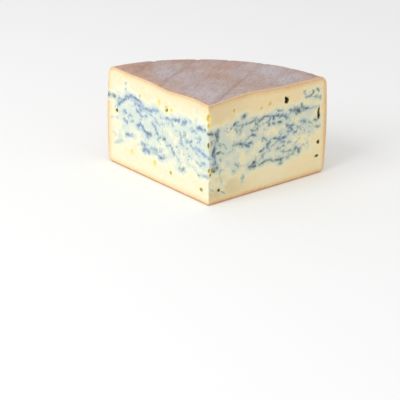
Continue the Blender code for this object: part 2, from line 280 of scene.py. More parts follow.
RIGHT_MOULD = [
    (2.2, 80, 40, (20, 71.5), (22.5, 74.5), (23.5, 73.5)), (3, 95, 100, (27, 78.2), (29.5, 78.5)),
    (2.4, 85, 40, (30, 71), (33, 71), (35.5, 72), (38.5, 73.5)),
    (2.4, 80, 30, (40, 71), (42.5, 71), (45, 73), (49, 73), (52, 72)),
    (2.6, 70, 10, (50, 70), (48, 67.5), (49.5, 63.5)), (2.2, 75, 10, (52.5, 72), (53, 69)),
    (2.2, 70, 40, (52.5, 64.8), (54.5, 64)), (2.4, 85, 30, (57.5, 64.2), (59.5, 64.3)),
    (2.2, 70, 50, (57, 76.5), (60, 76.5)), (2, 40, 100, (53.5, 78), (55, 78)),
    (3.4, 95, 10, (56, 72), (60, 71.2), (63, 69.5), (64.5, 67.2)), (2.8, 90, 60, (66.5, 75), (68, 72.5)),
    (5, 100, 80, (70.5, 73.5), (73, 72), (75.5, 71)), (2.6, 85, 20, (72, 70), (72.5, 68.5)),
    (3, 90, 20, (76.5, 76.5), (78, 74.5), (80, 72.2), (82, 70.8)), (2.4, 40, 40, (87, 71), (93, 71)),
    (1.8, 65, 70, (27, 70), (26, 67), (25.5, 63)), (1.8, 50, 70, (23.5, 67), (25, 65.5)),
    (2.2, 70, 50, (34.5, 63), (37, 62.5), (39.5, 63.3)), (3.2, 85, 20, (35.5, 59), (37.5, 57.3)),
    (1.8, 35, 60, (44, 61.5), (46, 61.2)), (2, 35, 40, (10, 49), (14, 47.5), (20, 49)),
    (2.6, 90, 30, (20, 52.5), (23.5, 53.5), (26, 52.5), (28.5, 50.3)),
    (2.2, 75, 30, (28.5, 50.3), (30, 49.2), (32.5, 48.5)), (3.2, 90, 0, (32, 51), (34.5, 50.5)),
    (1.8, 45, 70, (8, 60), (11, 57.5), (13, 55), (14, 52)),
    (2.2, 75, 10, (44, 53), (45.5, 51.5), (46.5, 50)),
    (3.2, 95, 10, (50, 47.5), (48.5, 46), (47.5, 44), (49, 40.5)),
    (2.2, 80, 40, (45.5, 41.3), (44, 40), (42.5, 39.5)), (2.4, 60, 40, (47, 37.5), (44, 35.5), (44, 33)),
    (2.4, 75, 30, (54, 49.5), (56, 48.5), (59, 49)), (3.8, 95, 10, (57, 46.5), (60, 47), (62.5, 48.5)),
    (2.6, 85, 30, (59, 44.5), (62.5, 43)), (2, 60, 40, (61, 40), (62, 39.8)),
    (2.2, 80, 50, (66, 42), (67.5, 41.5)), (2, 60, 50, (63.5, 50), (65.5, 49.5)),
    (3.2, 85, 0, (64, 61), (66, 59.2), (67, 56), (68.5, 54)), (2.8, 60, 0, (68.5, 54), (70, 51.5)),
    (2.4, 80, 20, (67.5, 58), (70, 58.5)), (2.4, 70, 30, (70, 50), (72.5, 51), (74, 53), (73.5, 55)),
    (3.6, 85, 0, (77, 60), (79.5, 59.7), (81, 58)), (1.8, 50, 80, (83, 57.2), (85.5, 56)),
    (2.4, 75, 50, (88, 58), (92, 57)), (3.2, 65, 50, (90, 50), (92.5, 50)),
    (3, 55, 70, (19, 28.8), (20.5, 27.2)), (2, 65, 80, (21.5, 33.5), (24, 31)),
    (1.6, 30, 70, (24.5, 30), (30, 30.5)), (3.4, 95, 60, (32.5, 28.7), (34.5, 28), (36, 29.5), (38, 31)),
    (3.6, 100, 70, (34.5, 26.2), (37, 26.5)),
    (2.4, 80, 50, (41.5, 27), (43, 27), (45, 28), (46.2, 29.5)),
    (2.6, 60, 80, (50, 28.2), (53.5, 27.7), (57, 26.5)),
    (2.4, 80, 60, (57, 26.5), (60, 25.5), (62, 26.5)), (2, 70, 80, (58.5, 22), (60.5, 22.3)),
    (3.4, 40, 10, (66, 25), (67, 29), (66, 32.5)), (2.2, 65, 60, (60.5, 33.5), (62, 33.2)),
    (2.2, 60, 60, (64.5, 33), (68.5, 33)), (2.8, 75, 90, (56, 37.5), (57.2, 37.5)),
    (2.2, 60, 80, (68.5, 28), (70.5, 27.5)),
    (3.2, 95, 40, (72, 33.2), (74.5, 33.5), (75.5, 32), (75, 29.7)),
    (1.8, 45, 90, (15, 37), (15.5, 36.5)), (4, 38, 90, (28, 20), (27.5, 17), (27, 14)),
    (3.2, 28, 90, (10, 32), (9, 28), (10, 22), (11, 16)),
    (2.2, 65, 50, (86, 87.2), (86.7, 85.5), (86, 83)), (2.6, 60, 100, (90, 89), (91.5, 86)),
    (2, 45, 80, (78.5, 88.5), (80, 86.2)), (2.4, 52, 80, (81, 83.8), (83, 84.2), (84.5, 82.8)),
    (2.2, 55, 60, (88.5, 80.5), (91, 81.2), (93, 80)), (2.6, 45, 60, (90.5, 80), (92.5, 79.5)),
    (2.2, 30, 100, (80, 89.5), (80, 87.5)), (3.8, 85, 100, (0.5, 72), (3, 71)),
    (3.6, 95, 70, (7.5, 72), (6, 68.5), (7.2, 66), (6.8, 63)),
    (4.4, 100, 20, (4.5, 56.5), (4, 53), (3, 49), (3.8, 47.5)), (3, 85, 70, (6.5, 49.5), (8.5, 49.5)),
    (5.6, 62, 30, (5, 44.5), (4.5, 41), (5, 37)), (2.2, 90, 30, (5.5, 42.5), (4.8, 40.5)),
    (2.2, 85, 60, (2, 60), (3, 63)), (2, 75, 60, (8.5, 58), (9.5, 56)),
    (2, 70, 50, (9, 44.5), (10, 42)), (5, 30, 70, (5, 68), (6, 56), (5, 40)),
    (4.6, 100, 70, (3.5, 35.5), (6.5, 36)), (1.8, 55, 40, (49, 73), (52, 72), (56, 72)),
    (1.8, 60, 50, (63, 69.5), (67, 71.2), (70.5, 73.5)),
    (1.8, 50, 50, (75.5, 71), (79, 69.8), (82, 70.8), (87, 71.2)),
    (1.6, 50, 50, (20, 71.5), (25, 71.2), (30, 71)), (1.6, 55, 50, (38, 31), (40, 28.5), (41.5, 27)),
    (1.6, 50, 60, (46.2, 29.5), (48, 28.5), (50, 28.2)),
    (1.6, 50, 60, (62, 26.5), (65.5, 26.2), (68.5, 28), (72, 30)),
    (1.6, 55, 40, (49, 40.5), (54, 43), (57, 46.5)), (1.6, 55, 20, (62.5, 48.5), (66, 52), (68.5, 54)),
    (1.6, 45, 50, (74, 53), (78, 56), (81, 58)), (1.6, 45, 60, (23.5, 73.5), (21.5, 68), (23.5, 64)),
    (1.6, 45, 50, (28.5, 50.3), (30, 55), (35.5, 59)), (1.6, 40, 50, (39.5, 63.3), (43, 66), (48, 67.5)),
    (2, 45, 100, (11, 10.2), (13.5, 8.5)), (2.2, 35, 100, (1.5, 16), (3.5, 14)),
]
# Each face: its side, its strokes, and how much wider and stronger they are drawn there.
FACES = [(-1.0, LEFT_MOULD, 1.24, 0.78), (1.0, RIGHT_MOULD, 1.0, 0.93)]
STROKE_BLUR = 1.5 * MM
STROKE_REACH = 3.0 * MM

# The pale haze between the strokes: how thick it is on the left face, and on the right one at
# the front edge and at the rim, and how green each face is where no stroke is near.
HAZE_LEFT, HAZE_RIGHT_TIP, HAZE_RIGHT_RIM = 0.56, 0.55, 0.40
HAZE_LEAST = 0.20
GREEN_LEFT, GREEN_RIGHT, GREEN_WEIGHT = 0.6, 2.0, 0.30
THREAD_WIDTH = 0.075
# The ragged front edge: how far it wavers, and how far from it that reaches.
FRONT_WAVER, FRONT_WAVER_REACH = 0.9 * MM, 2.5 * MM
# How deep the paste has yellowed under the rind, and how much deeper at the top right. Under
# the side it goes less deep, so distances from there count more.
RIPENED, RIPENED_TOP_RIGHT = 9.0 * MM, 6.0 * MM
SIDE_WEIGHT = 3.1


def nearest(places, out, up):
    """Distance from each place on a face to a run of straight stretches."""
    ends = np.array(places) / 100.0 * (RADIUS, HEIGHT)
    found = np.full(out.shape, np.inf)
    for start, end in zip(ends[:-1], ends[1:]):
        run = end - start
        share = ((out - start[0]) * run[0] + (up - start[1]) * run[1]) / (run @ run)
        share = np.clip(share, 0.0, 1.0)
        away = np.hypot(out - start[0] - share * run[0], up - start[1] - share * run[1])
        found = np.minimum(found, away)
    return found


def mould_on(flat):
    """Strength, haze and greenness of the mould over the unfolded pair of faces, where across
    is minus on the left face. Every place is first moved by grain on grain, which makes the
    strokes ragged, and the strongest stroke wins. Greenness is a mean weighted by nearness."""
    across, up = flat[..., 0], flat[..., 2]
    bent_out = across + 1.5 * MM * rough(flat, 5.0 * MM, 11) + 0.7 * MM * grain(flat, 1.7 * MM, 14)
    bent_up = up + 1.3 * MM * rough(flat, 5.0 * MM, 21) + 0.7 * MM * grain(flat, 1.7 * MM, 24)
    patchy = 1.0 + 0.40 * grain(flat, 2.4 * MM, 31)
    share = up / HEIGHT + 0.05 * grain(flat, 14.0 * MM, 33)
    band = smooth(share, 0.14, 0.38) * fade(share, 0.68, 0.89)
    band = band * fade(np.abs(across) / RADIUS, 0.84, 0.97)
    strength = np.zeros_like(across)
    clouds = 0.50 * rough(flat, 12.0 * MM, 35) + 0.50 * grain(flat, 5.5 * MM, 37)
    on_left = across < 0.0
    thinning = (HAZE_RIGHT_TIP - HAZE_RIGHT_RIM) * smooth(across / RADIUS, 0.35, 0.55)
    thick = np.where(on_left, HAZE_LEFT, HAZE_RIGHT_TIP - thinning)
    haze = band * np.clip(thick + clouds, HAZE_LEAST, 1.0)
    green = GREEN_WEIGHT * np.where(on_left, GREEN_LEFT, GREEN_RIGHT)
    weight = np.full_like(across, GREEN_WEIGHT)
    for side, strokes, wider, stronger in FACES:
        for width, power, hue, *places in strokes:
            away = nearest(places, side * bent_out, bent_up)
            half = 0.5 * width * MM * wider
            sharp = np.exp(-(away / (0.75 * half)) ** 2)
            soft = np.exp(-(away / (half + STROKE_BLUR)) ** 2)
            halo = power / 100.0 * np.exp(-(away / (half + STROKE_REACH)) ** 2)
            strength = np.maximum(strength, stronger * power / 100.0 * (0.58 * sharp + 0.42 * soft))
            haze = 1.0 - (1.0 - haze) * (1.0 - 0.50 * halo)
            green += hue / 100.0 * halo ** 2
            weight += halo ** 2
    return strength * patchy, haze, green / weight


def threads_on(flat):
    """Fine threads of mould between the strokes: where slow grain crosses nought, thinned
    out by a patchy mask and kept to the needled middle of the cheese."""
    share = flat[..., 2] / HEIGHT
    band = smooth(share, 0.20, 0.34) * fade(share, 0.72, 0.84)
    lines = np.exp(-(rough(flat, 8.0 * MM, 41, 4) / THREAD_WIDTH) ** 2)
    patches = smooth(grain(flat, 11.0 * MM, 51), -0.40, 0.40)
    breaks = smooth(grain(flat, 3.2 * MM, 57), -0.50, 0.40)
    return lines * band * patches * breaks


def eyes_on(flat):
    """Depth, yellowness, goldness and darkness of the eyes, the darkness partly mould and
    partly painted shade: each is a bowl, the root of one less the squared distance from its
    middle, where that distance is 1 on its ragged lip."""
    across, up = flat[..., 0], flat[..., 2]
    ragged = 0.20 * grain(flat, 1.9 * MM, 61)
    depth, yellow, gold, dark = np.zeros((4, *across.shape))
    for side, out, high, width, height, deep, darkness in EYES:
        far = np.hypot(
            (across - side * out / 100.0 * RADIUS) / (0.5 * width * MM),
            (up - high / 100.0 * HEIGHT) / (0.5 * height * MM),
        ) + ragged
        depth = np.maximum(depth, deep * MM * np.sqrt(np.clip(1.0 - far ** 2, 0.0, 1.0)))
        black = darkness / 100.0
        much, golden = WHEY[side]
        glaze = much * (1.0 - 0.62 * black)
        yellow = np.maximum(yellow, glaze * fade(far, 0.90, 2.15))
        gold = np.maximum(gold, min(golden + black, 1.0) * fade(far, 0.60, 1.70))
        dark = np.maximum(dark, black * fade(far, 0.92, 1.25))
    return depth, yellow, gold, dark


def cut_relief(flat):
    """How far the knife's surface lies below the flat: slow swells, curd grain and upright
    drag marks, all of it inwards."""
    drag = grain(flat * (1.0, 1.0, 0.12), 1.4 * MM, 71)
    slow = 0.5 + 0.5 * grain(flat, 24.0 * MM, 81)
    curd = 0.5 + 0.5 * rough(flat, 4.0 * MM, 91)
    return (0.22 * slow + 0.16 * curd + 0.03 * drag) * MM


def under_rind(sided, up):
    """Distance within a cut face from the rind, counted from where the paste starts: the least
    of the distances from the top, the base, the side, which counts more, and the two rims."""
    flat = np.minimum(np.minimum(up, HEIGHT - up) - SKIN, SIDE_WEIGHT * (RADIUS - SKIN - np.abs(sided)))
    past = np.abs(sided) - (RADIUS - BULGE)
    upper = np.hypot(np.maximum(past + TOP_ROUND, 0.0), np.maximum(up - (HEIGHT - TOP_ROUND), 0.0))
    lower = np.hypot(np.maximum(past + BASE_ROUND, 0.0), np.maximum(BASE_ROUND - up, 0.0))
    rims = np.minimum(TOP_ROUND - SKIN - upper, BASE_ROUND - SKIN - lower)
    return np.clip(np.minimum(flat, rims), 0.0, 1.0)


def chart(columns, rows):
    """Places on the map for a grid of points, from the places of its columns and rows."""
    return np.stack(np.meshgrid(columns, rows, indexing="ij"), -1)


def triangles(ids, uv, turned=False):
    """Two triangles for each cell of a grid of vertex numbers, and their corners on the map.
    Cells that shrink to a point on one side, as at a pole, keep one triangle."""
    corners = [(0, 0), (1, 0), (1, 1), (0, 1)]
    rows, columns = ids.shape
    take = [np.s_[a:rows - 1 + a, b:columns - 1 + b] for a, b in corners]
    cells = np.stack([ids[t].ravel() for t in take], -1)
    places = np.stack([uv[t].reshape(-1, 2) for t in take], 1)
    order = [[2, 1, 0], [3, 2, 0]] if turned else [[0, 1, 2], [0, 2, 3]]
    faces = np.concatenate([cells[:, o] for o in order])
    spots = np.concatenate([places[:, o] for o in order])
    real = (faces != np.roll(faces, 1, axis=1)).all(axis=1)
    return faces[real], spots[real]


def make_piece(name, points, parts, attributes, finish):
    """A mesh object at the origin from points and patches, with its map and attributes."""
    faces = np.concatenate([part[0] for part in parts])
    spots = np.concatenate([part[1] for part in parts])
    mesh = bpy.data.meshes.new(name)
    mesh.from_pydata(points.tolist(), [], faces.tolist())
    mesh.uv_layers.new(name="OFBake").uv.foreach_set("vector", spots.ravel())
    for label, values in attributes.items():
        mesh.attributes.new(label, "FLOAT", "POINT").data.foreach_set("value", values)
    mesh.shade_smooth()
    mesh.materials.append(finish)
    mesh.validate()
    piece = bpy.data.objects.new(name, mesh)
    bpy.context.scene.collection.objects.link(piece)
    return piece


def linear(red, green, blue):
    """A colour from 0 to 255 as it looks, turned into amounts of light."""
    share = np.array([red, green, blue]) / 255.0
    light = np.where(share <= 0.04045, share / 12.92, ((share + 0.055) / 1.055) ** 2.4)
    return (*light, 1.0)


class Nodes:
    """A short hand for one material's nodes: each method adds one and gives its output."""

    def __init__(self, name):
        self.material = bpy.data.materials.new(name)
        self.material.use_nodes = True
        self.tree = self.material.node_tree
        self.shader = self.tree.nodes["Principled BSDF"]

    def put(self, node, values):
        """Fills a node's sockets with outputs, numbers, and colours from 0 to 255."""
        for label, value in values.items():
            socket = node.inputs[label]
            if isinstance(value, bpy.types.NodeSocket):
                self.tree.links.new(value, socket)
            else:
                socket.default_value = linear(*value) if socket.type == "RGBA" else value

    def add(self, kind, values):
        """A new node with some of its sockets filled."""
        node = self.tree.nodes.new("ShaderNode" + kind)
        self.put(node, values)
        return node

    def stored(self, name):
        """A value stored on the mesh's points."""
        node = self.add("Attribute", {})
        node.attribute_name = name
        return node.outputs["Fac"]

    def noise(self, size, detail=3.0, rough=0.55, stretch=None, heading=0.0):
        """Noise about size metres across, between 0 and 1, which may be stretched along its
        own axes and turned so that its Y runs along a heading."""
        where = self.add("TexCoord", {}).outputs["Object"]
        if stretch:
            turned = {"Vector": where, "Scale": stretch, "Rotation": (0.0, 0.0, -heading)}
            turn = self.add("Mapping", turned)
            turn.vector_type = "TEXTURE"
            where = turn.outputs["Vector"]
        values = {"Vector": where, "Scale": 1.0 / size, "Detail": detail, "Roughness": rough}
        return self.add("TexNoise", values).outputs["Fac"]

    def sum(self, kind, one, other):
        """One step of arithmetic."""
        node = self.add("Math", {0: one, 1: other})
        node.operation = kind
        return node.outputs[0]

    def times(self, one, other):
        """One value times another."""
        return self.sum("MULTIPLY", one, other)

    def plus(self, one, other):
        """One value plus another."""
        return self.sum("ADD", one, other)

    def minus(self, one, other):
        """One value less another."""
        return self.sum("SUBTRACT", one, other)

    def spread(self, value, factor):
        """A noise moved to lie evenly around nought, times a factor."""
        return self.times(self.minus(value, 0.5), factor)

    def step(self, value, low, high, most=1.0, least=0.0, kind="SMOOTHSTEP"):
        """From the least at low to the most at high."""
        values = {"Value": value, "From Min": low, "From Max": high, "To Min": least, "To Max": most}
        node = self.add("MapRange", values)
        node.interpolation_type = kind
        return node.outputs["Result"]

    def mix(self, share, one, other):
        """One colour under a share of another."""
        node = self.add("Mix", {})
        node.data_type = "RGBA"
        self.put(node, {0: share, 6: one, 7: other})
        return node.outputs[2]

    def ramp(self, value, stops):
        """A run of colours."""
        node = self.add("ValToRGB", {"Fac": value})
        marks = node.color_ramp.elements
        for _ in stops[2:]:
            marks.new(0.5)
        for mark, (at, colour) in zip(marks, stops):
            mark.position = at
            mark.color = linear(*colour)
        return node.outputs["Color"]

    def bumps(self, layers):
        """A normal bent by one layer after another: a height from 0 to 1, times a distance in
        metres."""
        under = {}
        for height, distance in layers:
            node = self.add("Bump", {"Height": height, "Distance": distance, **under})
            under = {"Normal": node.outputs["Normal"]}
        return node.outputs["Normal"]

    def soften(self, weight, reach):
        """Lets some light into the body, as far as half the reach of red, green and blue."""
        self.put(self.shader, {
            "Subsurface Weight": weight, "Subsurface Radius": reach, "Subsurface Scale": 0.5})


def paste_finish():
    """Moist ivory curd that yellows under the rind, with blue and green mould in it and
    yellow whey glaze in the eyes. Painted shade: the right face, away from the lamp, is darker
    and warmer, and the deep eyes are dark, partly as mould."""
    n = Nodes("cheese_paste")
    cloud = n.noise(0.030, 4.0)
    curd = n.noise(0.0045, 4.0, 0.6)
    clump = n.noise(0.0022, 3.0, 0.6)
    fine = n.noise(0.0008, 3.0, 0.65)
    shade_warmth, painted_shade, green = n.stored("shade_warmth"), n.stored("painted_shade"), n.stored("green")
    low = n.minus(1.0, n.stored("up"))
    ivory = n.mix(n.step(cloud, 0.35, 0.68), (247, 236, 200), (245, 229, 186))
    ivory = n.mix(n.step(low, 0.55, 0.95), ivory, (248, 242, 214))
    ivory = n.mix(n.step(curd, 0.40, 0.72), ivory, (249, 243, 214))
    # Painted shade in part: the shaded right face gets a warmer, yellower ivory.
    ivory = n.mix(shade_warmth, ivory, (252, 230, 178))
    # Painted shade: the ivory turns greyer where the shade mask is high.
    ivory = n.mix(painted_shade, ivory, (214, 204, 160))
    depth = n.plus(n.stored("deep"), n.spread(curd, 0.25))
    under = n.ramp(depth, [
        (0.00, (236, 202, 156)), (0.10, (245, 218, 170)),
        (0.30, (249, 232, 188)), (0.75, (249, 236, 196)),
    ])
    tanned = n.ramp(depth, [
        (0.00, (228, 186, 136)), (0.12, (240, 204, 150)),
        (0.34, (248, 220, 168)), (0.75, (250, 228, 180)),
    ])
    # Painted shade in part: a darker, more orange under-rind colour on the shaded right face.
    under = n.mix(shade_warmth, under, tanned)
    body = n.mix(n.step(depth, 0.20, 0.85), under, ivory)
    outermost = n.minus(1.0, n.step(depth, 0.0, 0.28))
    scorch = n.times(outermost, n.step(cloud, 0.42, 0.62, 0.7))
    body = n.mix(n.times(scorch, shade_warmth), body, (232, 178, 112))
    # Painted shade: the shade mask also darkens the body towards tan.
    body = n.mix(n.times(painted_shade, 0.25), body, (206, 180, 130))

    # Painted shade in part: a warmer copy of the cream patches on the shaded right face.
    cream = n.mix(shade_warmth, (252, 250, 224), (250, 240, 190))
    body = n.mix(n.step(n.stored("haze"), 0.05, 0.35, 0.70), body, cream)
    haze = n.plus(n.stored("haze"), n.spread(curd, 0.6))
    veil = n.mix(green, (210, 229, 221), (205, 216, 204))
    body = n.mix(n.step(haze, 0.08, 0.85, 0.80), body, veil)

    speckle = n.plus(n.spread(fine, 1.1), n.spread(clump, 0.9))
    speckle = n.times(speckle, n.step(n.stored("mould"), 0.0, 0.35))
    mould = n.plus(n.stored("mould"), speckle)
    blue_run = n.ramp(mould, [
        (0.05, (208, 224, 226)), (0.28, (190, 209, 219)),
        (0.60, (154, 177, 204)), (1.00, (104, 122, 154)),
    ])
    green_run = n.ramp(mould, [
        (0.05, (206, 214, 196)), (0.28, (184, 196, 184)),
        (0.60, (130, 145, 138)), (1.00, (58, 68, 62)),
    ])
    body = n.mix(n.step(mould, 0.02, 0.34, 0.92), body, n.mix(green, blue_run, green_run))

    whey = n.mix(n.stored("gold"), (249, 241, 180), (240, 206, 84))
    body = n.mix(n.stored("yellow"), body, whey)
    # The deep eyes go olive to near black: mould in part, painted shade in part.
    gloom = n.ramp(n.stored("dark"), [(0.35, (128, 120, 52)), (0.95, (16, 15, 8))])
    body = n.mix(n.step(n.stored("dark"), 0.0, 0.40), body, gloom)
    n.soften(0.15, (0.004, 0.003, 0.0015))
    dryness = n.plus(curd, n.times(mould, 0.3))
    n.put(n.shader, {
        "Base Color": body,
        "Roughness": n.step(dryness, 0.30, 0.80, 0.62, 0.40, "LINEAR"),
        "Normal": n.bumps([(curd, 0.0012), (clump, 0.00060), (fine, 0.00020)]),
    })
    return n.material


def paste_piece():
    """The two cut faces as one sheet folded at the front edge, closed behind by a plain
    surface that starts just under the rind and lies deeper than any hole in it."""
    radius, height = cut_face_grid()
    sided = np.concatenate([-radius[:0:-1], radius])
    up = np.concatenate([height[:0:-1], height])
    side = np.where(sided < 0.0, -1.0, 1.0)
    points = settled(np.abs(sided), side * OPENING / 2.0, up)
    flat = np.stack([sided, np.zeros_like(sided), up], -1)
    pits, yellow, gold, dark = eyes_on(flat)
    mould, haze, green = mould_on(flat)
    mould = np.maximum(mould, threads_on(flat) * (0.26 + 0.44 * haze))
    away = under_rind(sided, up)
    relief = cut_relief(flat) + 0.55 * MM * smooth(mould, 0.30, 0.95)
    relief = relief * smooth(away, 0.0, 2.0 * MM)
    depth = np.maximum(relief, pits)
    lean = (math.pi - OPENING) / 2.0 * np.clip(sided / (6.0 * MM), -1.0, 1.0)
    waver = FRONT_WAVER * rough(flat * (0.0, 0.0, 1.0), 6.0 * MM, 201)
    clear_of_rind = smooth(np.minimum(up, HEIGHT - up), 5.5 * MM, 9.0 * MM)
    points[..., 0] += waver * clear_of_rind * np.exp(-(sided / FRONT_WAVER_REACH) ** 2)
    points[..., 0] -= depth * np.sin(lean)
    points[..., 1] += depth * np.cos(lean)

    out = np.abs(sided) / RADIUS
    share_up = up / HEIGHT
    on_right = smooth(sided, -1.0 * MM, 1.0 * MM)
    on_left = 1.0 - on_right
    upper_left = on_left * smooth(share_up, 0.89, 0.98)
    low = fade(share_up, 0.10, 0.35)
    # Painted shade: the right face, away from the lamp, darker and greyer towards the front edge, more
    # so in bands near its top and foot; the left face darker along the top under the rind, most near the
    # fold.
    painted_shade = 0.78 * on_right * fade(out, 0.0, 0.5) ** 1.3
    painted_shade += 0.50 * on_left * fade(out, 0.0, 0.45) * smooth(share_up, 0.85, 0.985)
    painted_shade += 0.10 * upper_left
    outer_bands = low + smooth(share_up, 0.7, 0.85)
    painted_shade += 0.22 * on_right * outer_bands * fade(out, 0.18, 0.38)
    # Painted shade in part: how much of the warmer paste colour each place gets, nearly all of it on the
    # right face away from the lamp, less low in the middle and near the rim, and some along the top of
    # the left face under the rind.
    shade_warmth = 0.85 - 0.25 * low * smooth(out, 0.25, 0.50) * fade(out, 0.55, 0.75)
    shade_warmth = shade_warmth - 0.35 * smooth(out, 0.90, 0.97)
    shade_warmth = shade_warmth * smooth(sided, -1.0 * MM, 2.0 * MM) + 0.30 * upper_left
    ripened = RIPENED + RIPENED_TOP_RIGHT * on_right * smooth(share_up, 0.6, 0.8)

    columns, rows = sided.shape
    ids = np.arange(columns * rows).reshape(columns, rows)
    middle = len(OUT_STEPS) - 1
    left_run = np.concatenate([ids[middle::-1, -1], ids[0, -2::-1], ids[1:middle + 1, 0]])
    right_run = np.concatenate([ids[middle:, -1], ids[-1, -2::-1], ids[-2:middle - 1:-1, 0]])
    run = points.reshape(-1, 3)
    shell_radius, shell_height = buried_outline(BURIED, [OUT_STEPS, UP_STEPS, OUT_STEPS])
    turns = np.linspace(-OPENING / 2.0, OPENING / 2.0, BACK_STEPS + 1)
    back = settled(shell_radius[1:-1], turns[1:-1, None], shell_height[1:-1])
    back_ids = len(run) + np.arange(back.shape[0] * back.shape[1]).reshape(back.shape[:2])
    inner = np.pad(back_ids, ((0, 0), (1, 1)))
    inner[:, 0], inner[:, -1] = left_run[0], left_run[-1]
    shell = np.concatenate([left_run[None], inner, right_run[None]])
    everything = np.concatenate([run, back.reshape(-1, 3)])

    # On the map the left face lies above the right one, and the shell beside them.
    outwards = 0.01 + 0.80 * OUT_STEPS
    left_map = chart(outwards[::-1], np.linspace(0.505, 0.99, rows))
    right_map = chart(outwards, np.linspace(0.01, 0.495, rows))
    shell_map = chart(np.linspace(0.83, 0.99, shell.shape[0]), np.linspace(0.01, 0.99, shell.shape[1]))
    parts = [
        triangles(ids[:middle + 1], left_map),
        triangles(ids[middle:], right_map),
        triangles(shell, shell_map),
    ]
    values = {
        "mould": mould, "haze": haze, "green": green, "yellow": yellow, "gold": gold, "dark": dark,
        "deep": np.clip(away / ripened, 0.0, 1.0), "up": share_up, "shade_warmth": shade_warmth, "painted_shade": painted_shade,
    }
    hidden = np.zeros(back_ids.size)
    stored = {name: np.concatenate([value.ravel(), hidden]) for name, value in values.items()}
    return make_piece("cheese_paste", everything, parts, stored, paste_finish())


paste = paste_piece()
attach(paste, "root")
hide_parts("cheese_wedge")

# ------------------------------------------------------------
# The rind: the skin of the same wheel on its top, its side and its base. It was washed, rubbed
# with salt and turned on cloth and boards, which left creases, a fine weave and a dusty mauve
# bloom, and needles went in through the side in four rows.
# ------------------------------------------------------------
BACKING = 0.0050
LEAST_BACKING = 0.0004
INNER_STEPS = 16
EDGE_ROUND = 0.0009
CREASE_HEADING = math.radians(17.0)
# Creases in the top: how far from the tip each passes, then its share of the depth.
CREASES = [(-0.092, 1.0), (-0.058, 0.9), (-0.029, 0.45), (0.003, 1.0), (0.029, 0.6), (0.056, 0.5)]
CREASE_WIDTH, CREASE_DEPTH = 0.0021, 0.0008
SLOW_DENT, SMALL_DENT, SKIN_GRAIN = 0.25 * MM, 0.32 * MM, 0.08 * MM

# Stains in the top: place and reach in millimetres, then strength: plus is russet, minus is
# the grey bloom.
STAINS = [
    (-84, 22, 15, 1.3), (-64, 2, 13, 0.9), (-70, 24, 12, 1.0), (-35, 50, 11, 0.9),
    (-24, 30, 9, 0.6), (-10, 44, 16, 0.5), (5, 36, 10, 0.8), (-3, 10, 9, 0.9), (11, 10, 9, 0.8),
    (22, -14, 10, 0.7), (30, 12, 9, 0.5), (42, -14, 9, 0.6), (87, 26, 9, 1.0), (15, 56, 10, 0.7),
    (-62, 36, 10, 0.6), (-44, 10, 13, -1.0), (-10, -38, 18, -0.8), (20, 18, 9, -0.8),
    (46, 34, 14, -1.0), (56, 8, 13, -1.0), (-20, -10, 12, -0.5), (6, -52, 10, -0.5),
    (72, 16, 11, -0.6),
]

NEEDLE_ROWS = (0.15, 0.33, 0.54, 0.75)
NEEDLE_COLUMNS = 6
NEEDLE_SPACING = math.radians(14.0)
NEEDLE_RADIUS = 0.0014
NEEDLE_DEPTH, NEEDLE_FUNNEL = 0.0036, 0.00035
NEEDLE_DRIFT, NEEDLE_LIFT = 0.12, 0.0016
# The least and the most of each hole's luck: how wide it is, how far its slit lies to the side
# and how long that is in millimetres, and a draw that gives a slit when it is high.
LUCK_LEAST, LUCK_MOST = (0.65, -5.0, 4.0, 0.0), (1.1, 5.0, 9.0, 1.0)
SLIT_FROM = 0.6
SLIT_UP, SLIT_HALF, SLIT_DEPTH = 0.0006, 0.0007, 0.0013
# How far from the left cut, the right cut and the rims the bloom is rubbed away.
RUB_LEFT, RUB_RIGHT, RUB_RIM = 0.012, 0.0045, 0.007


def needle_holes():
    """Angle and height of every needle hole, in even rows and columns that wander a little."""
    wander = np.random.default_rng(7)
    found = []
    for row in NEEDLE_ROWS:
        for column in range(NEEDLE_COLUMNS):
            off = wander.uniform(-1.0, 1.0, 2)
            angle = (column - (NEEDLE_COLUMNS - 1) / 2.0 + NEEDLE_DRIFT * off[0]) * NEEDLE_SPACING
            found.append((angle, row * HEIGHT + NEEDLE_LIFT * off[1]))
    return found


def crowded(low, high, fine, coarse, spots, reach):
    """Places from low to high, a fine step apart within reach of the spots and a coarse step
    apart elsewhere: the running total of the steps needed, read backwards."""
    place = np.linspace(low, high, 6000)
    near = np.min(np.abs(place[:, None] - np.array(spots)[None]), axis=1) < reach
    need = np.cumsum(np.where(near, 1.0 / fine, 1.0 / coarse)) * (high - low) / len(place)
    need -= need[0]
    return np.interp(np.linspace(0.0, need[-1], int(math.ceil(need[-1])) + 1), need, place)


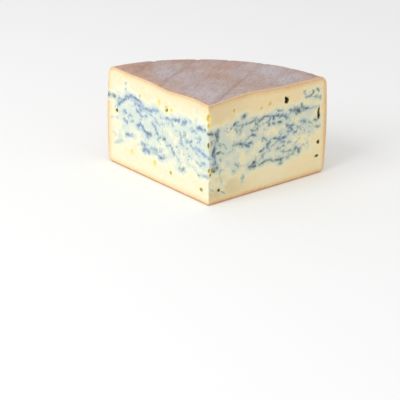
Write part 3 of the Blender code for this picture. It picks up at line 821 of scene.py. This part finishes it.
def rind_relief(points, radius, angle, height):
    """How deep the skin lies below its true form at each point, and how much of each point is
    crease, hole or side. The top has straight creases, the side needle holes and short slits
    beside some of them, and everything has slow dents and fine grain."""
    top = smooth(height, HEIGHT - 0.6 * TOP_ROUND, HEIGHT - 0.1 * TOP_ROUND)
    side = smooth(radius, RADIUS - 6.0 * MM, RADIUS - 3.0 * MM)
    slow = 0.5 + 0.5 * grain(points, 21.0 * MM, 101)
    dents = 0.5 + 0.5 * rough(points, 6.5 * MM, 111)
    fine = 0.5 + 0.5 * grain(points, 1.6 * MM, 121)
    depth = SLOW_DENT * slow + SMALL_DENT * dents + SKIN_GRAIN * fine
    across = points[..., 0] * math.cos(CREASE_HEADING)
    across -= (points[..., 1] - FRONT_Y) * math.sin(CREASE_HEADING)
    across += 2.2 * MM * grain(points, 26.0 * MM, 131) + 0.7 * MM * grain(points, 6.0 * MM, 141)
    crease = np.zeros_like(depth)
    for place, power in CREASES:
        come = 0.45 + 0.55 * smooth(grain(points, 30.0 * MM, 151 + round(place * 1000)), -0.35, 0.25)
        crease = np.maximum(crease, power * come * np.exp(-((across - place) / CREASE_WIDTH) ** 2))
    crease *= top
    depth += CREASE_DEPTH * crease
    hole = np.zeros_like(depth)
    hole_luck = np.random.default_rng(19)
    around = angle * RADIUS
    ragged = 0.14 * grain(points, 1.3 * MM, 161)
    for turn, high in needle_holes():
        closing, offset, length, luck = hole_luck.uniform(LUCK_LEAST, LUCK_MOST)
        from_hole = around - turn * RADIUS
        far = np.hypot(from_hole, height - high) / (closing * NEEDLE_RADIUS) + ragged
        depth += NEEDLE_DEPTH * side * fade(far, 0.55, 1.0)
        depth += NEEDLE_FUNNEL * side * np.exp(-(far / 1.9) ** 2)
        hole = np.maximum(hole, side * fade(far, 0.75, 1.25))
        if luck > SLIT_FROM:
            slit = np.hypot((from_hole - offset * MM) / (0.5 * length * MM),
                            (height - high - SLIT_UP) / SLIT_HALF) + ragged
            depth += SLIT_DEPTH * side * fade(slit, 0.5, 1.0)
            hole = np.maximum(hole, 0.7 * side * fade(slit, 0.6, 1.15))
    return depth, crease, hole, side


def stains_on(points):
    """Russet and grey patches over the rind: a sum of soft round spots on warped places."""
    shift = 5.0 * MM * rough(points, 14.0 * MM, 171)
    total = np.zeros(points.shape[:-1])
    for x, y, reach, power in STAINS:
        away = np.hypot(points[..., 0] + shift - x * MM, points[..., 1] - shift - y * MM)
        total += power * np.exp(-(away / (reach * MM)) ** 2)
    return np.clip(total, -1.0, 1.0)


def near_foot(height):
    """1 within a millimetre of the ground, and 0 from twelve up."""
    return fade(height, 1.0 * MM, 12.0 * MM)


def rind_finish():
    """A dry washed skin: beige under a thin mauve-grey bloom on top, orange-brown where it is
    rubbed at the rims, darker brown in the creases as painted shade, cream to tan on the side
    with its needle holes painted dark as shade, and flesh where it is cut, orange near the
    ground, partly as a painted contact shadow."""
    n = Nodes("cheese_rind")
    broad = n.noise(0.060, 3.0, 0.5)
    big = n.noise(0.034, 4.0, 0.55)
    patch = n.noise(0.011, 4.0, 0.6)
    streak = n.noise(0.007, 4.0, 0.62, (1.0, 2.6, 1.0), CREASE_HEADING)
    mottle = n.noise(0.0034, 4.0, 0.7)
    brush = n.noise(0.0018, 3.0, 0.6, (1.0, 4.0, 1.0), CREASE_HEADING)
    speck = n.noise(0.0012, 3.0, 0.65)
    tiny = n.noise(0.0005, 2.0, 0.6)
    on_side = n.stored("side")
    uneven = n.plus(n.spread(streak, 1.9), n.spread(mottle, 1.7))
    mildly = n.times(uneven, 0.8)

    bloom = n.mix(n.step(big, 0.34, 0.66), (186, 168, 165), (184, 160, 150))
    bloom = n.mix(n.step(patch, 0.42, 0.70), bloom, (192, 175, 172))
    russet = n.mix(n.step(mottle, 0.35, 0.65), (170, 130, 110), (198, 156, 134))
    bloom = n.mix(n.step(n.plus(n.stored("stain"), uneven), 0.05, 1.05, 0.80), bloom, russet)
    pale = n.minus(mildly, n.stored("stain"))
    bloom = n.mix(n.step(pale, 0.10, 0.95, 0.75), bloom, (194, 184, 190))

    side = n.mix(n.step(patch, 0.36, 0.70), (238, 222, 184), (231, 206, 164))
    side = n.mix(n.step(broad, 0.46, 0.66, 0.75), side, (222, 182, 136))
    side = n.mix(n.step(big, 0.48, 0.70, 0.6), side, (230, 208, 198))
    skin = n.mix(on_side, bloom, side)

    rubbed = n.mix(n.step(speck, 0.35, 0.7), (216, 174, 144), (200, 152, 124))
    rubbed = n.mix(n.times(on_side, 0.8), rubbed, (222, 164, 98))
    skin = n.mix(n.step(n.plus(n.stored("rub"), mildly), 0.18, 0.95, 0.72), skin, rubbed)
    # Painted shade: the creases darkened towards brown.
    skin = n.mix(n.times(n.stored("crease"), 0.34), skin, (150, 112, 98))
    marked = n.minus(1.0, n.times(on_side, 0.70))
    skin = n.mix(n.times(n.step(brush, 0.46, 0.66, 0.40), marked), skin, (148, 120, 112))
    skin = n.mix(n.times(n.step(speck, 0.52, 0.80, 0.35), marked), skin, (146, 116, 104))
    skin = n.mix(n.step(tiny, 0.55, 0.85, 0.30), skin, (226, 214, 208))
    # Painted shade: needle holes and slits painted dark brown.
    skin = n.mix(n.stored("hole"), skin, (52, 34, 22))

    flesh = n.mix(n.step(speck, 0.35, 0.7), (234, 200, 160), (245, 217, 177))
    # Orange towards the ground on the cut strip: the rind's own colour and, in part, a painted contact
    # shadow.
    foot = n.mix(n.step(speck, 0.35, 0.7), (206, 146, 84), (230, 180, 118))
    flesh = n.mix(n.stored("foot"), flesh, foot)
    flesh = n.mix(n.times(on_side, 0.65), flesh, (250, 238, 198))
    n.soften(0.06, (0.003, 0.002, 0.001))
    weave = n.noise(0.0016, 1.0, 0.5, (1.0, 1.0, 0.35))
    n.put(n.shader, {
        "Base Color": n.mix(n.stored("cut"), skin, flesh),
        "Roughness": 0.66,
        "Normal": n.bumps([(patch, 0.0010), (weave, 0.0003), (tiny, 0.00012)]),
    })
    return n.material


def rind_piece():
    """A closed skin: outside, a plain inside hidden in the paste, and a thin strip in each
    cut plane that joins the two."""
    holes = needle_holes()
    rim_length = HEIGHT - (TOP_ROUND + BASE_ROUND) * (1.0 - math.pi / 4.0)
    rows = [rim_length - (h - BASE_ROUND * (1.0 - math.pi / 4.0)) for _, h in holes]
    shares = [
        crowded(0.0, 1.0, 0.0030, 0.0095, [0.0, 1.0], 0.06),
        crowded(0.0, 1.0, 0.36 * MM / rim_length, 1.2 * MM / rim_length,
                [r / rim_length for r in rows], 2.2 * MM / rim_length),
        crowded(0.0, 1.0, 0.0080, 0.0250, [0.0], 0.10),
    ]
    half = OPENING / 2.0
    turns = crowded(-half, half, 0.42 * MM / RADIUS, 1.4 * MM / RADIUS,
                    [t for t, _ in holes] + [-half, half], 2.3 * MM / RADIUS)
    radius, height = whole_outline(0.0, shares)
    deep = buried_outline(BACKING, shares)
    strip = whole_outline(SKIN, shares)
    inward = deep - (radius, height)
    thickness = np.linalg.norm(inward, axis=0)
    inward /= thickness
    inward[:, 0], inward[:, -1] = (0.0, -1.0), (0.0, 1.0)

    turn, wide = np.meshgrid(turns, radius, indexing="ij")
    high = 0.0 * turn + height
    flat = np.stack([wide * np.sin(turn), wide * np.cos(turn) + FRONT_Y, high], -1)
    depth, crease, hole, side = rind_relief(flat, wide, turn, high)
    edge = wide * np.sin(np.clip(half - np.abs(turn), 0.0, math.pi / 2.0))
    worn = np.clip(1.0 - edge / EDGE_ROUND, 0.0, 1.0)
    chipped = 0.85 + 0.35 * rough(flat, 7.0 * MM, 181)
    fillet = chipped * EDGE_ROUND * (1.0 - np.sqrt(np.clip(1.0 - worn ** 2, 0.0, 1.0)))
    at_edge = smooth(edge, 0.0, 3.0 * MM)
    on_base = smooth(-high, -1.5 * MM, -0.2 * MM)
    depth = depth * (0.10 + 0.90 * at_edge) * (1.0 - 0.85 * on_base) + fillet
    depth = np.minimum(depth, thickness - LEAST_BACKING)
    outer = settled(wide + depth * inward[0], turn, high + depth * inward[1])

    def closed(ring):
        """Gives a grid's first and last column one point each, on the axis."""
        rows, columns = ring.shape[:2]
        count = rows * (columns - 2)
        ids = np.empty((rows, columns), int)
        ids[:, 1:-1] = np.arange(count).reshape(rows, -1)
        ids[:, 0], ids[:, -1] = count, count + 1
        return ids, np.concatenate([ring[:, 1:-1].reshape(count, -1), ring[:1, 0], ring[:1, -1]])

    outer_ids, outer_points = closed(outer)
    inner_turns = np.linspace(-half, half, INNER_STEPS + 1)
    inset = np.repeat(deep[:, None], INNER_STEPS + 1, axis=1)
    inset[:, 0] = inset[:, -1] = strip
    inner = settled(inset[0], inner_turns[:, None], inset[1])
    inner_ids, inner_points = closed(inner)
    inner_ids += len(outer_points)
    everything = np.concatenate([outer_points, inner_points])

    # On the map the outside lies left of the two strips and the inside, which are narrow.
    length = walked(radius, height)
    along = 0.01 + 0.98 * length / length[-1]
    about = 0.01 + 0.93 * (turns + half) / OPENING
    first, last = [np.stack([outer_ids[k], inner_ids[k]]) for k in (0, -1)]
    parts = [
        triangles(outer_ids, chart(about, along)),
        triangles(inner_ids, chart(np.linspace(0.984, 0.996, INNER_STEPS + 1), along), True),
        triangles(first, chart([0.948, 0.958], along), True),
        triangles(last, chart([0.966, 0.976], along)),
    ]
    upper = np.hypot(wide - (RADIUS - 0.4 * TOP_ROUND), high - (HEIGHT - 0.4 * TOP_ROUND))
    lower = np.hypot(wide - (RADIUS - 0.4 * BASE_ROUND), high - 0.4 * BASE_ROUND)
    reach = np.where(turn < 0.0, RUB_LEFT, RUB_RIGHT) * (0.45 + 0.55 * wide / RADIUS)
    rub = 0.80 * np.exp(-(np.minimum(upper, lower) / RUB_RIM) ** 2)
    rub += (1.0 - 0.7 * side) * np.exp(-(edge / reach) ** 1.5)
    on_top = smooth(high, HEIGHT - TOP_ROUND, HEIGHT - 0.2 * TOP_ROUND)
    from_axis = np.hypot(inner_points[:, 0], inner_points[:, 1] - FRONT_Y)
    nothing = np.zeros(len(inner_points))
    values = {
        "crease": (crease, nothing),
        "hole": (hole, nothing),
        "rub": (np.clip(rub, 0.0, 1.0), nothing),
        "stain": (stains_on(flat) * on_top, nothing),
        "cut": (0.9 * fade(edge, 0.0, 0.6 * MM), nothing + 1.0),
        "foot": (near_foot(high), near_foot(inner_points[:, 2])),
        "side": (side * (1.0 - on_base), smooth(from_axis, RADIUS - 8.0 * MM, RADIUS - 4.5 * MM)),
    }
    stored = {name: np.concatenate([closed(outside[..., None])[1][:, 0], inside])
              for name, (outside, inside) in values.items()}
    return make_piece("cheese_rind", everything, parts, stored, rind_finish())


rind = rind_piece()
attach(rind, "root")
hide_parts("cheese_wedge")

# ------------------------------------------------------------
# The stage: a pale matt floor, even light from all round with one big soft lamp at the left
# front, and the camera.
# ------------------------------------------------------------
FLOOR_SIDE = 12.0
FLOOR_TONE = 0.97
SKY_STRENGTH = 0.74
LAMP_SIZE, LAMP_POWER = 1.1, 14.5
LAMP_PLACE, LAMP_AIM = (-1.05, -1.05, 1.15), (0.0, 0.0, 0.045)
LENS, SENSOR = 117.0, 36.0
CAMERA_PLACE = (0.0637, -1.0840, 0.4295)
CAMERA_YAW = math.radians(-3.936)
CAMERA_PITCH = math.radians(22.651)
CAMERA_ROLL = math.radians(1.608)


def stage_floor():
    """A square floor just under the wedge."""
    half = FLOOR_SIDE / 2.0
    mesh = bpy.data.meshes.new("floor")
    mesh.from_pydata([(-half, -half, 0), (half, -half, 0), (half, half, 0), (-half, half, 0)],
                     [], [(0, 1, 2, 3)])
    material = bpy.data.materials.new("floor_paint")
    material.use_nodes = True
    shader = material.node_tree.nodes["Principled BSDF"]
    shader.inputs["Base Color"].default_value = (FLOOR_TONE, FLOOR_TONE, FLOOR_TONE, 1.0)
    shader.inputs["Roughness"].default_value = 0.9
    shader.inputs["Specular IOR Level"].default_value = 0.0
    mesh.materials.append(material)
    floor = bpy.data.objects.new("floor", mesh)
    bpy.context.scene.collection.objects.link(floor)
    return floor


def set_light_and_camera():
    """World, lamp and camera."""
    scene = bpy.context.scene
    world = bpy.data.worlds.new("studio")
    world.use_nodes = True
    sky = world.node_tree.nodes["Background"]
    sky.inputs["Color"].default_value = (1.0, 1.0, 1.0, 1.0)
    sky.inputs["Strength"].default_value = SKY_STRENGTH
    scene.world = world
    scene.view_settings.view_transform = "Standard"
    lamp_data = bpy.data.lights.new("key", "AREA")
    lamp_data.shape = "SQUARE"
    lamp_data.size = LAMP_SIZE
    lamp_data.energy = LAMP_POWER
    lamp = bpy.data.objects.new("key", lamp_data)
    lamp.location = LAMP_PLACE
    aim = Vector(LAMP_AIM) - Vector(LAMP_PLACE)
    lamp.rotation_euler = aim.to_track_quat("-Z", "Y").to_euler()
    scene.collection.objects.link(lamp)

    camera_data = bpy.data.cameras.new("camera")
    camera_data.lens = LENS
    camera_data.sensor_width = SENSOR
    camera = bpy.data.objects.new("camera", camera_data)
    tilted = Matrix.Rotation(math.pi / 2.0 - CAMERA_PITCH, 4, "X")
    turned = Matrix.Rotation(-CAMERA_YAW, 4, "Z") @ tilted @ Matrix.Rotation(CAMERA_ROLL, 4, "Z")
    camera.matrix_world = Matrix.Translation(CAMERA_PLACE) @ turned
    scene.collection.objects.link(camera)
    scene.camera = camera


stage_floor()
set_light_and_camera()
